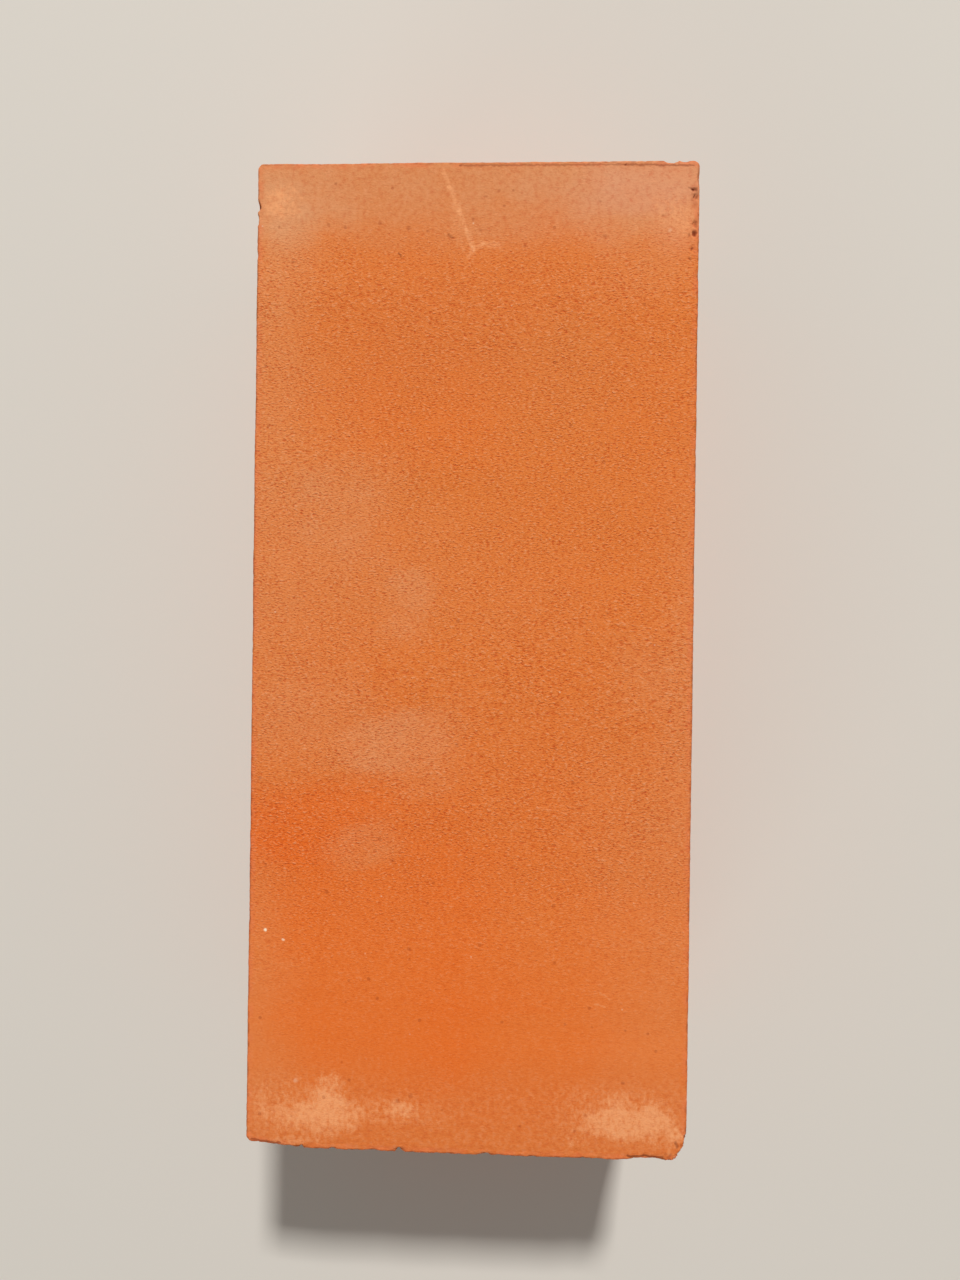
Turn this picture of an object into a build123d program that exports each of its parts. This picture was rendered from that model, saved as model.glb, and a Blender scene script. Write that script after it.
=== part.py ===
from build123d import *

import os

# A solid clay brick of nine by four by three inches, cut from its column by a wire.
# The column comes out of the die standing on end, so the die leaves the four upright faces
# smooth and rounds the four upright corners. A wire stretched across the width then cuts the
# two bed faces, travelling from the +X end to the -X end, and leaves them flat with nearly
# sharp edges. One top corner, at the -X end on the -Y side, was knocked off after firing.
#
# X runs along the length, Y across the width and Z up. The origin is the centre of the bed
# face that the brick lies on.

# Driving dimensions, in millimetres
length = 229.0  # nine inches
width = 102.0  # four inches
height = 76.0  # three inches

die_corner_radius = 1.5  # upright corners, as the mouth of the die leaves them
cut_edge_radius = 0.5  # edges round both bed faces, where the wire entered and left

# How far the knocked-off corner reaches from the sharp corner along each of its three edges
chip_along_length = 7.0
chip_along_width = 4.5
chip_down_height = 7.5


def break_plane() -> Plane:
    """The plane that the corner broke along, facing out of the brick."""
    corner = Vector(-length / 2, -width / 2, height)
    on_long_edge = corner + Vector(chip_along_length, 0, 0)
    on_end_edge = corner + Vector(0, chip_along_width, 0)
    on_upright_edge = corner - Vector(0, 0, chip_down_height)
    outwards = (on_end_edge - on_long_edge).cross(on_upright_edge - on_long_edge)
    return Plane(origin=on_long_edge, x_dir=on_end_edge - on_long_edge, z_dir=outwards)


with BuildPart() as brick:
    # The column's section, cut off at the brick's height
    with BuildSketch(Plane.XY):
        RectangleRounded(length, width, die_corner_radius)
    extrude(amount=height)

    # The edges round the two bed faces
    bed_faces = brick.faces().filter_by(Axis.Z)
    fillet(bed_faces.edges(), radius=cut_edge_radius)

    # The knocked-off corner
    split(bisect_by=break_plane(), keep=Keep.BOTTOM)

brick.part.label = "brick"

os.makedirs("parts", exist_ok=True)
export_step(brick.part, "parts/brick.step")
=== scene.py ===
"""Dresses the clay brick: a solid wire-cut brick lying on its bed, seen from almost straight above.

X runs along the brick's length, Y across its width and Z up, and the origin is the centre of the bed
that the brick lies on. Every size below is in millimetres unless its name says otherwise.
"""

import logging
import math
from dataclasses import dataclass, field
from enum import Enum

import bpy
from mathutils import Euler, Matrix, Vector


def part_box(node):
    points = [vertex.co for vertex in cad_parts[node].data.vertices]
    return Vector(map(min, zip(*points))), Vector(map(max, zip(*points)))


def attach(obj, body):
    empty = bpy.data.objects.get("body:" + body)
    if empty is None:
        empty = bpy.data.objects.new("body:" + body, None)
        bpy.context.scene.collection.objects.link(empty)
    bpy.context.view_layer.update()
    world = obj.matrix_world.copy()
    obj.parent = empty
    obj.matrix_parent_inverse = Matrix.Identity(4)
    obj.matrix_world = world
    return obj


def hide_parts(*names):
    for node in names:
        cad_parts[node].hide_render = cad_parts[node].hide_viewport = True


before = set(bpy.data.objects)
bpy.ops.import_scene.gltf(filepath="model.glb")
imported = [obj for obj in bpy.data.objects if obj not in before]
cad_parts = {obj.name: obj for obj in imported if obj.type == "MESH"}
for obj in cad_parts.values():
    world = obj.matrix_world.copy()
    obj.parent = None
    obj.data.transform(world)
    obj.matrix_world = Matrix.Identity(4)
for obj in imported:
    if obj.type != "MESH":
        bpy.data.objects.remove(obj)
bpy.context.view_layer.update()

MM = 0.001  # one millimetre, in the scene's metres
TINY = 1e-6  # keeps a division off zero
INSET = 0.005  # keeps the body inside the CAD box whatever the rounding
NOISE_STEP = (17.3, 5.9, 11.7)  # how far one unit of a seed moves a noise along X, Y and Z
CELL_STEP = (7.1, 13.9, 3.7)  # the same for scattered marks
PHOTO_HEIGHT_PX = 1280
BRICK_NODE = "brick"
CLAY_SLOT = "fired_clay"

Triple = tuple[float, float, float]
Pair = tuple[float, float]
log = logging.getLogger("brick")


def srgb(red: int, green: int, blue: int) -> Triple:
    """Turns a colour as a screen shows it, 0 to 255, into the linear colour that shaders use.

    Args:
        red: Red from 0 to 255.
        green: Green from 0 to 255.
        blue: Blue from 0 to 255.

    Returns:
        The three linear parts, 0 to 1.
    """
    parts = (value / 255 for value in (red, green, blue))
    return tuple(p / 12.92 if p <= 0.04045 else ((p + 0.055) / 1.055) ** 2.4 for p in parts)


class Field:
    """A number or a vector that a node tree works out at every point."""

    def __init__(self, graph: "Graph", socket: bpy.types.NodeSocket) -> None:
        """Keeps the tree and the socket that gives the value."""
        self.graph = graph
        self.socket = socket

    def __add__(self, other: "Value") -> "Field":
        """Gives self + other."""
        return self.graph.math("ADD", self, other)

    def __sub__(self, other: "Value") -> "Field":
        """Gives self - other."""
        return self.graph.math("SUBTRACT", self, other)

    def __rsub__(self, other: "Value") -> "Field":
        """Gives other - self."""
        return self.graph.math("SUBTRACT", other, self)

    def __mul__(self, other: "Value") -> "Field":
        """Gives self * other."""
        return self.graph.math("MULTIPLY", self, other)

    def __truediv__(self, other: "Value") -> "Field":
        """Gives self / other."""
        return self.graph.math("DIVIDE", self, other)

    def __neg__(self) -> "Field":
        """Gives self with its sign changed."""
        return self.graph.math("MULTIPLY", self, -1.0)

    __radd__ = __add__


Value = Field | float | int


@dataclass(frozen=True)
class Grain:
    """A smooth noise of about 0 to 1.

    Attributes:
        size: Its grain, one number or one each along X, Y and Z.
        seed: Moves it, so that two noises of one grain differ.
        detail: How many finer layers it has.
        rough: How strong the finer layers are.
        twist: How far it is wrinkled.
    """

    size: float | Triple
    seed: float = 0.0
    detail: float = 2.0
    rough: float = 0.5
    twist: float = 0.0


@dataclass(frozen=True)
class Mottle:
    """A noise stretched evenly: low where the noise is at start, high where it is at end."""

    grain: Grain
    start: float
    end: float
    low: float = 0.0
    high: float = 1.0


@dataclass(frozen=True)
class Stir:
    """Smooth random shifts of a point, by about a third of the reach."""

    size: float
    seed: float
    reach: float


@dataclass(frozen=True)
class Scatter:
    """Small round marks scattered at random.

    Attributes:
        spacing: The mean distance between two of them.
        core: How far from its centre a mark is at its full strength.
        rim: How far from its centre it ends.
        chances: The random number, 0 to 1, from which marks show, and the one from which they are full.
        strength: Their full strength.
        spread: How much wider a mark gets as its random number rises.
        seed: Moves them.
    """

    spacing: float
    core: float
    rim: float
    chances: Pair
    strength: float
    spread: float = 0.0
    seed: float = 0.0


class Graph:
    """A node tree under construction, of a material or of Geometry Nodes."""

    def __init__(self, tree: bpy.types.NodeTree) -> None:
        """Keeps the tree that the nodes go into."""
        self.tree = tree

    def node(self, kind: str, inputs: dict[int | str, object] | None = None,
             **settings: object) -> bpy.types.Node:
        """Adds a node.

        Args:
            kind: The node's Blender type.
            inputs: What goes into its sockets, by name or number: a Field, a socket or a plain value.
            **settings: The node's own properties.

        Returns:
            The new node.
        """
        node = self.tree.nodes.new(kind)
        for name, value in settings.items():
            setattr(node, name, value)
        for key, value in (inputs or {}).items():
            self.plug(node.inputs[key], value)
        return node

    def plug(self, socket: bpy.types.NodeSocket, value: object) -> None:
        """Puts a Field, another node's socket or a plain value into a socket.

        Args:
            socket: The socket.
            value: What goes into it.
        """
        if isinstance(value, Field):
            value = value.socket
        if isinstance(value, bpy.types.NodeSocket):
            self.tree.links.new(value, socket)
        else:
            socket.default_value = value

    def math(self, operation: str, *terms: Value) -> Field:
        """Adds a Math node and gives its result."""
        node = self.node("ShaderNodeMath", dict(enumerate(terms)), operation=operation)
        return Field(self, node.outputs[0])

    def vector(self, operation: str, *terms: Field | Triple) -> Field:
        """Adds a Vector Math node and gives its result.

        Args:
            operation: What the node does.
            *terms: What it works on.

        Returns:
            The result, a vector or a number.
        """
        node = self.node("ShaderNodeVectorMath", dict(enumerate(terms)), operation=operation)
        number = operation in ("DOT_PRODUCT", "LENGTH", "DISTANCE")
        return Field(self, node.outputs["Value" if number else "Vector"])

    def scaled(self, vector: Field | Triple, factor: Value) -> Field:
        """Gives a vector times a number."""
        node = self.node("ShaderNodeVectorMath", {0: vector, "Scale": factor}, operation="SCALE")
        return Field(self, node.outputs["Vector"])

    def split(self, vector: Field) -> tuple[Field, Field, Field]:
        """Gives a vector's three parts."""
        node = self.node("ShaderNodeSeparateXYZ", {0: vector})
        return tuple(Field(self, part) for part in node.outputs)

    def channels(self, colour: bpy.types.NodeSocket) -> tuple[Field, Field, Field]:
        """Gives a colour's three parts.

        Args:
            colour: The socket that gives the colour.

        Returns:
            Red, green and blue.
        """
        in_material = self.tree.bl_idname == "ShaderNodeTree"
        kind = "ShaderNodeSeparateColor" if in_material else "FunctionNodeSeparateColor"
        return tuple(Field(self, part) for part in self.node(kind, {0: colour}).outputs[:3])

    def join(self, x: Value, y: Value, z: Value) -> Field:
        """Gives the vector of three numbers."""
        return Field(self, self.node("ShaderNodeCombineXYZ", {0: x, 1: y, 2: z}).outputs[0])

    def ramp(self, value: Value, start: Value, end: Value, high: Value = 1.0) -> Field:
        """Rises smoothly from 0 where the value is at start to high where it is at end.

        Args:
            value: The value.
            start: Where the rise begins.
            end: Where it ends, above start or below it.
            high: What it rises to.

        Returns:
            The result, 0 before start and high past end.
        """
        inputs = {"Value": value, "From Min": start, "From Max": end, "To Max": high}
        node = self.node("ShaderNodeMapRange", inputs, interpolation_type="SMOOTHSTEP", clamp=True)
        return Field(self, node.outputs[0])

    def line(self, value: Value, start: Value, end: Value, low: Value = 0.0, high: Value = 1.0) -> Field:
        """Rises evenly from low where the value is at start to high where it is at end."""
        inputs = {"Value": value, "From Min": start, "From Max": end, "To Min": low, "To Max": high}
        return Field(self, self.node("ShaderNodeMapRange", inputs, clamp=True).outputs[0])

    def noise(self, at: Field, grain: Grain, seed: Value = 0.0, size: Field | None = None) -> Field:
        """Gives a smooth noise.

        Args:
            at: The point.
            grain: The noise.
            seed: Moves it further.
            size: Its grain along X, Y and Z, where that changes from place to place.

        Returns:
            The noise, about 0 to 1.
        """
        return Field(self, self._noise_node(at, grain, seed, size).outputs[0])

    def mottle(self, at: Field, mottle: Mottle, seed: Value = 0.0) -> Field:
        """Gives a stretched noise."""
        noise = self.noise(at, mottle.grain, seed)
        return self.line(noise, mottle.start, mottle.end, mottle.low, mottle.high)

    def stirred(self, moved: Field, at: Field, stir: Stir) -> Field:
        """Shifts the moved point by three noises, read where at is.

        Args:
            moved: The point that is shifted.
            at: Where the noises are read.
            stir: The noises.

        Returns:
            The shifted point.
        """
        node = self._noise_node(at, Grain(stir.size, stir.seed, 1.0), 0.0, None)
        shift = self.join(*[shade - 0.5 for shade in self.channels(node.outputs["Color"])])
        return self.vector("ADD", moved, self.scaled(shift, stir.reach))

    def _noise_node(self, at: Field, grain: Grain, seed: Value, size: Field | None) -> bpy.types.Node:
        """Adds the noise node that noise and stirred read.

        Args:
            at: The point.
            grain: The noise.
            seed: Moves it further.
            size: Its grain along X, Y and Z where that changes, or None.

        Returns:
            The node.
        """
        plain = (grain.size,) * 3 if isinstance(grain.size, float) else grain.size
        scaled = self.vector("DIVIDE", at, plain if size is None else size)
        shift = seed + grain.seed
        inputs = {"Vector": self.vector("ADD", scaled, self.join(*[shift * step for step in NOISE_STEP])),
                  "Scale": 1.0, "Detail": grain.detail, "Roughness": grain.rough, "Distortion": grain.twist}
        return self.node("ShaderNodeTexNoise", inputs)

    def scatter(self, at: Field, kind: Scatter, seed: Value = 0.0) -> Field:
        """Gives how strong the nearest of some scattered marks is at a point.

        Args:
            at: The point.
            kind: The marks.
            seed: Moves them further.

        Returns:
            The strength, 0 outside the marks.
        """
        scaled = self.vector("DIVIDE", at, (kind.spacing,) * 3)
        shift = seed + kind.seed
        moved = self.vector("ADD", scaled, self.join(*[shift * step for step in CELL_STEP]))
        node = self.node("ShaderNodeTexVoronoi", {"Vector": moved, "Scale": 1.0})
        chance, _, _ = self.channels(node.outputs["Color"])
        far = Field(self, node.outputs["Distance"]) * kind.spacing - chance * kind.spread
        near = 1.0 - self.ramp(far, kind.core, kind.rim)
        return near * self.ramp(chance, *kind.chances) * kind.strength

    def mixed(self, share: Value, below: object, above: object) -> Field:
        """Mixes a colour over another.

        Args:
            share: How much of the upper colour shows, 0 to 1.
            below: The lower colour.
            above: The upper colour.

        Returns:
            The mixed colour.
        """
        below, above = ((*c, 1.0) if isinstance(c, tuple) else c for c in (below, above))
        node = self.node("ShaderNodeMix", data_type="RGBA")
        for socket, value in ((node.inputs[0], share), (node.inputs[6], below), (node.inputs[7], above)):
            self.plug(socket, value)
        return Field(self, node.outputs[2])


class InputKind(Enum):
    """The kinds of named input that a shape tree takes."""

    NUMBER = "NodeSocketFloat"
    COUNT = "NodeSocketInt"
    FINISH = "NodeSocketMaterial"


class ShapeTree:
    """A Geometry Nodes tree with named inputs, run once to give a plain mesh."""

    def __init__(self, name: str) -> None:
        """Makes an empty tree with its output socket.

        Args:
            name: The tree's name.
        """
        self.tree = bpy.data.node_groups.new(name, "GeometryNodeTree")
        self.graph = Graph(self.tree)
        self.tree.interface.new_socket("Shape", in_out="OUTPUT", socket_type="NodeSocketGeometry")
        self.entry = self.graph.node("NodeGroupInput")
        self.exit = self.graph.node("NodeGroupOutput")
        self.values: dict[str, object] = {}

    def input(self, name: str, kind: InputKind, value: object) -> Field:
        """Adds a named input.

        Args:
            name: The input's name.
            kind: What it takes.
            value: What the modifier gives it.

        Returns:
            The input as a Field.
        """
        item = self.tree.interface.new_socket(name, in_out="INPUT", socket_type=kind.value)
        self.values[item.identifier] = value
        return Field(self.graph, self.entry.outputs[item.identifier])

    def number(self, name: str, value: float) -> Field:
        """Adds a named input that takes a number."""
        return self.input(name, InputKind.NUMBER, value)

    def mesh(self, shape: bpy.types.NodeSocket, finish: bpy.types.Material,
             keep_share: float) -> bpy.types.Mesh:
        """Runs the tree and thins its result.

        Args:
            shape: The socket that gives the shape.
            finish: The material of every face.
            keep_share: The share of its triangles that is kept.

        Returns:
            A plain mesh.
        """
        dressing = self.input("Finish", InputKind.FINISH, finish)
        real = self.graph.node("GeometryNodeRealizeInstances", {0: shape})
        ends = {"Geometry": real.outputs[0], "Material": dressing}
        dressed = self.graph.node("GeometryNodeSetMaterial", ends)
        self.tree.links.new(dressed.outputs[0], self.exit.inputs[0])
        carrier = bpy.data.objects.new(self.tree.name, bpy.data.meshes.new(self.tree.name))
        bpy.context.scene.collection.objects.link(carrier)
        nodes = carrier.modifiers.new("shape", "NODES")
        nodes.node_group = self.tree
        for identifier, value in self.values.items():
            nodes[identifier] = value
        thinning = carrier.modifiers.new("thinning", "DECIMATE")
        thinning.ratio = keep_share
        view = bpy.context.evaluated_depsgraph_get()
        made = bpy.data.meshes.new_from_object(
            carrier.evaluated_get(view), preserve_all_data_layers=True, depsgraph=view
        )
        carrier.modifiers.clear()
        bpy.data.objects.remove(carrier)
        return made


@dataclass(frozen=True)
class Patch:
    """A soft patch of another tone on the upper bed: a rounded box, turned.

    Attributes:
        x: Its centre's place along the length.
        y: Its centre's place across the width.
        along: Half its size along its own length.
        across: Half its size across that.
        strength: How strong it is, 0 to 1, or below 0 where it takes the tone away.
        softness: The share of its half sizes over which it fades, to each side of its outline.
        turn_deg: How far it is turned, anticlockwise seen from above.
    """

    x: float
    y: float
    along: float
    across: float
    strength: float
    softness: float = 0.35
    turn_deg: float = 0.0


@dataclass(frozen=True)
class Scratch:
    """A fine line or a long pit on the upper bed."""

    start: Pair
    end: Pair
    half_width: float
    strength: float


@dataclass(frozen=True)
class Speck:
    """A small pit or grain on the upper bed."""

    x: float
    y: float
    radius: float
    strength: float = 0.6


Mark = Patch | Scratch | Speck


@dataclass(frozen=True)
class ClayTones:
    """The colours of the fired clay, and the tones of its painted shade and painted light."""

    clay: Triple = srgb(225, 125, 55)
    clay_far: Triple = srgb(227, 121, 52)
    ruddy: Triple = srgb(234, 104, 24)
    haze: Triple = srgb(228, 188, 144)
    blush: Triple = srgb(238, 160, 132)
    dusk: Triple = srgb(176, 116, 78)
    chalk: Triple = srgb(246, 168, 112)
    sand: Triple = srgb(255, 232, 200)
    skin: Triple = srgb(216, 107, 46)
    fresh: Triple = srgb(232, 146, 98)
    rose: Triple = srgb(228, 118, 74)
    # ridge: painted light on the fine relief's ridges; groove: painted shade in its grooves. Both also tint
    # the clay's random grain.
    ridge: Triple = srgb(235, 158, 112)
    groove: Triple = srgb(188, 60, 12)
    iron: Triple = srgb(146, 50, 10)
    # shadow: the painted shade of nicks, chips, pits by the edges, the arrises and the dark lines.
    shadow: Triple = srgb(118, 42, 10)


@dataclass(frozen=True)
class CutRelief:
    """The heights of the fine relief.

    Attributes:
        wrinkle: The wrinkles of the cut, mid face.
        swell: Wide low swells.
        drag: The lines that the wire drew where the cut is smooth.
        grit: The grit of the clay, everywhere.
        rub: More grit in the rubbed strips at both ends.
        die_line: The die's upright lines on the sides.
        crumb: The crumbs of the break.
        pit: How deep the pits are.
    """

    wrinkle: float = 0.28
    swell: float = 0.03
    drag: float = 0.04
    grit: float = 0.022
    rub: float = 0.08
    die_line: float = 0.045
    crumb: float = 0.35
    pit: float = 0.08


@dataclass(frozen=True)
class ClayNoises:
    """The random patterns of the finish, each named for what it makes."""

    wide_stir: Stir = Stir(10.0, 1.0, 11.0)
    small_stir: Stir = Stir(3.5, 2.0, 3.0)
    nudge: Stir = Stir(1.1, 6.0, 0.7)
    chalk_rags: Stir = Stir(2.6, 24.0, 2.6)
    pits: Scatter = Scatter(4.6, 0.0, 0.3, (0.2, 0.5), 0.5, 0.3, 1.0)
    pale_grains: Scatter = Scatter(6.0, 0.05, 0.32, (0.5, 0.9), 0.4, 0.0, 2.0)
    wrinkles: Grain = Grain((0.34, 0.72, 0.5), 15.0, 1.5, 0.6, 0.5)
    die_lines: Triple = (0.45, 0.45, 9.0)
    swells: Grain = Grain((3.5, 6.0, 5.0), 16.0, 1.0)
    drag_lines: Grain = Grain((12.0, 0.7, 0.7), 17.0, 1.0)
    grit: Grain = Grain(0.7, 20.0, 3.0, 0.65)
    dust: Grain = Grain((1.3, 0.9, 0.9), 7.0, 3.0, 0.7)
    clay_grain: Grain = Grain(1.2, 10.0, 3.0, 0.6)
    roughness: Mottle = Mottle(Grain(9.0, 21.0), 0.3, 0.7, 0.85, 1.15)
    ruddy_clouds: Mottle = Mottle(Grain(22.0, 3.0, 3.0), 0.3, 0.75, 0.0, 0.12)
    haze_breath: Mottle = Mottle(Grain(6.0, 4.0, 4.0), 0.3, 0.7, 0.75, 1.25)
    scuffs: Mottle = Mottle(Grain(0.8, 5.0), 0.3, 0.65, 0.35, 1.2)
    streaks: Mottle = Mottle(Grain((2.2, 2.2, 30.0), 11.0, 3.0), 0.15, 0.85, 0.2, 0.8)
    side_ruddy: Mottle = Mottle(Grain(26.0, 23.0, 3.0), 0.45, 0.75, 0.0, 0.28)
    side_haze: Mottle = Mottle(Grain((34.0, 34.0, 24.0), 12.0, 4.0), 0.45, 0.8, 0.0, 0.14)
    worn_edges: Mottle = Mottle(Grain(4.0, 13.0, 3.0), 0.35, 0.65, 0.0, 0.45)
    # arris_shade_dots: the dots of the shade painted along the arrises.
    arris_shade_dots: Mottle = Mottle(Grain(1.6, 22.0, 3.0), 0.4, 0.68, 0.0, 0.42)
    break_crumbs: Mottle = Mottle(Grain(0.8, 14.0, 3.0, 0.65), 0.35, 0.65)


@dataclass(frozen=True)
class ClayBounds:
    """Where the tints of the finish lie and how strong they are.

    A pair gives the value at which something begins and the value at which it is full. rubbed_head and
    end_strip count inwards from an end, far_end is in places along the length, upper_half in shares of
    the height, and rubbed_foot in shares of half the length.
    """

    upper_half: Pair = (0.5, 0.6)
    far_end: Pair = (60.0, -60.0)
    # groove and ridge: where the painted shade in the grooves and the painted light on the ridges begin and
    # are full; bed_tint and side_tint: how strong they are on the beds and the sides.
    groove: Pair = (0.5, 0.28)
    ridge: Pair = (0.53, 0.75)
    bed_tint: float = 0.62
    side_tint: float = 0.1
    dark_grain: Pair = (0.5, 0.25)
    pale_grain: Pair = (0.5, 0.75)
    grain: float = 0.1
    end_grain: float = 0.2
    chalk_rim: Pair = (0.0, 0.25)
    chalk_grain: Pair = (0.52, 0.92)
    chalk_cover: float = 0.42
    chalk_most: float = 0.8
    pit_dark: float = 0.65
    # hollow_shade: how much shade is painted into nicks and chips.
    hollow_shade: float = 0.75
    worn_edge: Pair = (0.3, 0.9)
    # arris_shade_band: the band along the arrises where a line of shade is painted in dots.
    arris_shade_band: Pair = (0.86, 0.97)
    break_pale: float = 0.8
    rubbed_head: Pair = (10.0, 26.0)
    rubbed_foot: Pair = (0.8, 0.3)
    least_rough: float = 0.28
    dragged: Pair = (0.2, 1.0)
    end_strip: Pair = (22.0, 12.0)
    line_rim: float = 1.6
    line_core: float = 0.2
    speck_rim: float = 1.4
    speck_core: float = 0.3
    roughness: float = 0.88
    shine: float = 0.2


@dataclass(frozen=True)
class Spot:
    """What the finish knows of a point on the brick.

    Attributes:
        g: The finish's tree.
        at: The point's place.
        nudged: Its place in plan, shifted a little for ragged outlines.
        bed: 1 on both beds and 0 on the sides.
        upper: 1 on the upper bed and 0 elsewhere.
        edge: 1 at the beds' edges, fading inwards.
        hollow: 1 in nicks and chips, where shade is painted.
        broken: 1 on the break.
        pitted: How deep in a pit it is, 0 to 1.
        wrinkles: The finest grain, 0 to 1: short wrinkles on the beds, upright lines on the sides.
        rough: How rough the cut is, about 1 mid face.
        ends: 1 in the rubbed strips at both ends and 0 between them.
    """

    g: Graph
    at: Field
    nudged: Field
    bed: Field
    upper: Field
    edge: Field
    hollow: Field
    broken: Field
    pitted: Field
    wrinkles: Field
    rough: Field
    ends: Field


@dataclass(frozen=True)
class FiredClay:
    """The brick's one finish: wire-cut beds, die-smooth sides and a raw break, all of one clay.

    Attributes:
        length: The brick's length.
        height: The brick's height.
        tones: Its colours.
        relief: The heights of its fine relief.
        noises: Its random patterns.
        bounds: Where its tints lie.
        haze: Pale film on the upper bed.
        ruddy: Redder clay there.
        chalk: Chalky dust there.
        blush: Pinker clay there.
        dusk: A darker, browner tone there, strongest along both ends.
        pale_lines: The scratches.
        dark_lines: Dark lines along both ends and in long pits, mostly painted shade, with a few dark
            ticks.
        specks: Small pits.
        crumbs: Small pale grains.
    """

    length: float
    height: float
    tones: ClayTones = ClayTones()
    relief: CutRelief = CutRelief()
    noises: ClayNoises = ClayNoises()
    bounds: ClayBounds = ClayBounds()
    haze: tuple[Patch, ...] = (
        Patch(116.0, 0.0, 16.0, 80.0, 0.23, 0.55),
        Patch(103.5, 45.0, 6.0, 6.5, 0.13, 0.6),
        Patch(98.0, 44.0, 12.0, 10.0, 0.04, 0.6),
        Patch(104.0, -39.0, 8.0, 12.0, 0.11, 0.6),
        Patch(110.0, -30.0, 6.0, 26.0, 0.08, 0.6),
        Patch(91.0, -40.0, 8.0, 10.0, 0.07, 0.6),
        Patch(101.0, 35.0, 5.0, 6.0, 0.08, 0.6),
        Patch(80.0, 49.0, 18.0, 8.0, 0.045, 0.7),
        Patch(97.0, 4.0, 5.0, 8.0, 0.03, 0.6),
        Patch(60.0, 53.0, 60.0, 15.0, 0.08, 0.7),
        Patch(14.0, 39.0, 40.0, 17.0, 0.045, 0.5),
        Patch(42.0, 28.0, 5.0, 15.0, 0.045, 0.45, 10.0),
        Patch(33.0, 30.0, 9.0, 10.0, 0.05, 0.4, -15.0),
        Patch(24.0, 16.0, 12.0, 14.0, 0.035, 0.5),
        Patch(26.0, 35.0, 6.0, 7.0, 0.03, 0.6),
        Patch(12.0, 14.5, 9.5, 5.5, 0.12, 0.25),
        Patch(-19.0, 16.0, 6.5, 12.5, 0.1, 0.25, 12.0),
        Patch(-21.0, 20.0, 6.5, 8.0, 0.07, 0.35, 35.0),
        Patch(-18.0, 6.0, 9.0, 7.0, 0.035, 0.4),
        Patch(-14.0, 38.0, 9.0, 14.0, 0.05, 0.6),
        Patch(-43.0, 24.0, 6.0, 7.5, 0.085, 0.25, 20.0),
        Patch(-29.0, 11.0, 4.5, 8.0, 0.05, 0.5),
        Patch(-4.0, -40.0, 9.0, 7.5, 0.055, 0.5),
        Patch(0.0, -52.0, 32.0, 5.0, 0.05, 0.7),
        Patch(-10.0, -52.0, 60.0, 9.0, 0.035, 0.7),
        Patch(12.0, -12.0, 8.0, 13.0, 0.02, 0.6),
        Patch(-50.0, -41.0, 26.0, 13.0, 0.04, 0.6, 6.0),
        Patch(-95.0, -42.0, 16.0, 12.0, 0.04, 0.6),
        Patch(-80.0, 51.0, 36.0, 8.0, 0.06, 0.7),
    )
    ruddy: tuple[Patch, ...] = (
        Patch(-68.0, 19.0, 32.0, 25.0, 0.36, 0.3, -4.0),
        Patch(-38.0, 34.0, 8.5, 17.0, 0.32, 0.4, 8.0),
        Patch(-43.0, 24.0, 6.0, 7.5, -0.3, 0.3, 20.0),
        Patch(-40.0, 47.0, 9.0, 7.0, 0.3, 0.6),
        Patch(-54.0, 42.0, 12.0, 12.0, 0.12, 0.6),
        Patch(-88.0, -12.0, 20.0, 22.0, 0.22, 0.5),
        Patch(-45.0, -8.0, 18.0, 20.0, 0.08, 0.6),
        Patch(60.0, -42.0, 30.0, 12.0, 0.08, 0.7),
        Patch(88.0, 0.0, 10.0, 32.0, 0.1, 0.6),
        Patch(62.0, 13.0, 17.0, 20.0, 0.2, 0.6),
    )
    chalk: tuple[Patch, ...] = (
        Patch(105.4, 47.0, 2.4, 2.2, 0.5, 0.6),
        Patch(107.4, 44.6, 1.8, 2.8, 0.42, 0.6, -20.0),
        Patch(103.2, 44.4, 1.8, 3.6, 0.36, 0.6, 12.0),
        Patch(103.0, -44.5, 3.5, 4.0, 0.28, 0.7),
        Patch(99.5, -47.5, 3.0, 2.5, 0.28, 0.7),
        Patch(-101.0, 31.0, 3.8, 2.8, 0.45, 0.5, 5.0),
        Patch(-105.2, 30.5, 3.4, 6.2, 0.6, 0.4, -22.0),
        Patch(-108.0, 34.0, 3.0, 5.0, 0.4, 0.45, -12.0),
        Patch(-106.2, 39.6, 2.2, 5.2, 0.4, 0.55, 8.0),
        Patch(-105.0, 42.0, 8.0, 9.0, 0.2, 0.6),
        Patch(-104.3, 15.0, 1.5, 3.0, 0.45, 0.5, -8.0),
        Patch(-105.0, 16.0, 3.5, 12.0, 0.2, 0.6),
        Patch(-105.0, 47.5, 2.6, 1.2, 0.3, 0.6),
        Patch(-112.6, 40.0, 0.8, 6.0, 0.3, 0.6, 6.0),
        Patch(-105.6, -36.5, 2.8, 8.6, 0.62, 0.38, 3.0),
        Patch(-101.8, -35.0, 2.4, 2.4, 0.45, 0.45),
        Patch(-108.3, -37.3, 1.7, 3.6, 0.45, 0.45),
        Patch(-105.2, -44.6, 2.2, 3.8, 0.45, 0.45, -8.0),
        Patch(-104.5, -35.0, 7.5, 15.0, 0.2, 0.6),
        Patch(-101.9, -43.3, 1.2, 1.7, 0.4, 0.6),
        Patch(-109.2, -43.4, 1.2, 1.2, 0.3, 0.6),
        Patch(-110.3, -25.2, 1.0, 1.0, 0.3, 0.6),
        Patch(-108.6, -48.0, 2.0, 2.0, 0.35, 0.6),
    )
    blush: tuple[Patch, ...] = (
        Patch(109.5, -40.0, 6.0, 13.0, 0.26, 0.6),
        Patch(104.0, -22.0, 8.0, 12.0, 0.1, 0.7),
        Patch(99.0, -46.0, 7.0, 5.0, 0.14, 0.7),
    )
    dusk: tuple[Patch, ...] = (
        Patch(113.0, 0.0, 14.0, 80.0, 0.2, 0.7),
        Patch(80.0, 2.0, 20.0, 32.0, 0.08, 0.7),
        Patch(-112.0, 0.0, 16.0, 80.0, 0.12, 0.6),
    )
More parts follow.
